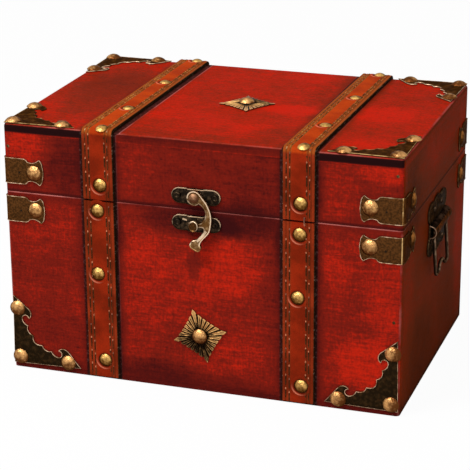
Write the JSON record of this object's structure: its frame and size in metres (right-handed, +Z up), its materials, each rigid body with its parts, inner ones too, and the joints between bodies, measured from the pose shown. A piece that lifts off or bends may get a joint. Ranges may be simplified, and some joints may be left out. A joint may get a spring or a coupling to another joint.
{
  "type": "wooden storage box",
  "caption": "Rectangular wooden storage box with a hinged lid, leather straps, domed nails, corner fittings, a swing hook latch and side bail handles.",
  "frame": {"origin": "middle of the underside of the bottom board, on the surface that the box stands on", "axes": "+X along the front to the right as seen from the front, +Y from the front to the back, +Z up"},
  "size_m": [0.3134, 0.2197, 0.1972],
  "materials": {
    "red_wood": "deep red stain, darker to the edges, satin lacquer",
    "side_wood": "dark red-brown stain, satin lacquer",
    "edge_wood": "near-black red stain, satin",
    "strap_leather": "orange-brown, stitched, waxed",
    "aged_bronze": "dark antique, pale worn rims",
    "antique_brass": "satin antique"
  },
  "bodies": {
    "base": {"base_bottom": "edge_wood", "base_front": "red_wood", "base_back": "red_wood", "base_left": "side_wood", "base_right": "side_wood", "base_strap_front_left": "strap_leather", "base_strap_front_right": "strap_leather", "base_strap_back_left": "strap_leather", "base_strap_back_right": "strap_leather", "bracket_bottom_left": "aged_bronze", "bracket_bottom_right": "aged_bronze", "wrap_base_front_left": "aged_bronze", "wrap_base_front_right": "aged_bronze", "wrap_base_back_left": "aged_bronze", "wrap_base_back_right": "aged_bronze", "rosette_front": "antique_brass", "rosette_nail_front": "antique_brass", "latch_plate_lower": "aged_bronze", "catch_pin": "antique_brass", "latch_screw_lower_left": "aged_bronze", "latch_screw_lower_right": "aged_bronze", "handle_plate_left": "aged_bronze", "handle_plate_right": "aged_bronze", "hinge_leaf_base_left": "aged_bronze", "hinge_leaf_base_right": "aged_bronze", "hinge_pin_left": "aged_bronze", "hinge_pin_right": "aged_bronze"},
    "lid": {"lid_top": "red_wood", "lid_front": "red_wood", "lid_back": "red_wood", "lid_left": "side_wood", "lid_right": "side_wood", "lid_strap_left": "strap_leather", "lid_strap_right": "strap_leather", "bracket_top_front_left": "aged_bronze", "bracket_top_front_right": "aged_bronze", "bracket_top_back_left": "aged_bronze", "bracket_top_back_right": "aged_bronze", "wrap_lid_front_left": "aged_bronze", "wrap_lid_front_right": "aged_bronze", "wrap_lid_back_left": "aged_bronze", "wrap_lid_back_right": "aged_bronze", "rosette_top": "antique_brass", "rosette_nail_top": "antique_brass", "latch_plate_upper": "aged_bronze", "latch_rivet": "antique_brass", "latch_screw_upper_left": "aged_bronze", "latch_screw_upper_right": "aged_bronze", "hinge_leaf_lid_left": "aged_bronze", "hinge_leaf_lid_right": "aged_bronze"},
    "latch_hook": {"latch_hook": "antique_brass"},
    "right_bail": {"handle_bail_right": "aged_bronze"},
    "left_bail": {"handle_bail_left": "aged_bronze"}
  },
  "joints": [
    {"name": "lid_hinge", "type": "hinge", "parent": "base", "child": "lid", "pos_m": [0, 0.1049, 0.1403], "axis": [-1, 0, 0], "range_deg": [0, 110]},
    {"name": "hook_pivot", "type": "hinge", "parent": "lid", "child": "latch_hook", "pos_m": [-0.001, -0.108, 0.1505], "axis": [0, -1, 0], "range_deg": [0, 180]},
    {"name": "right_bail_pivot", "type": "hinge", "parent": "base", "child": "right_bail", "pos_m": [0.15295, 0, 0.113], "axis": [0, -1, 0], "range_deg": [0, 90]},
    {"name": "left_bail_pivot", "type": "hinge", "parent": "base", "child": "left_bail", "pos_m": [-0.15295, 0, 0.113], "axis": [0, 1, 0], "range_deg": [0, 90]}
  ]
}
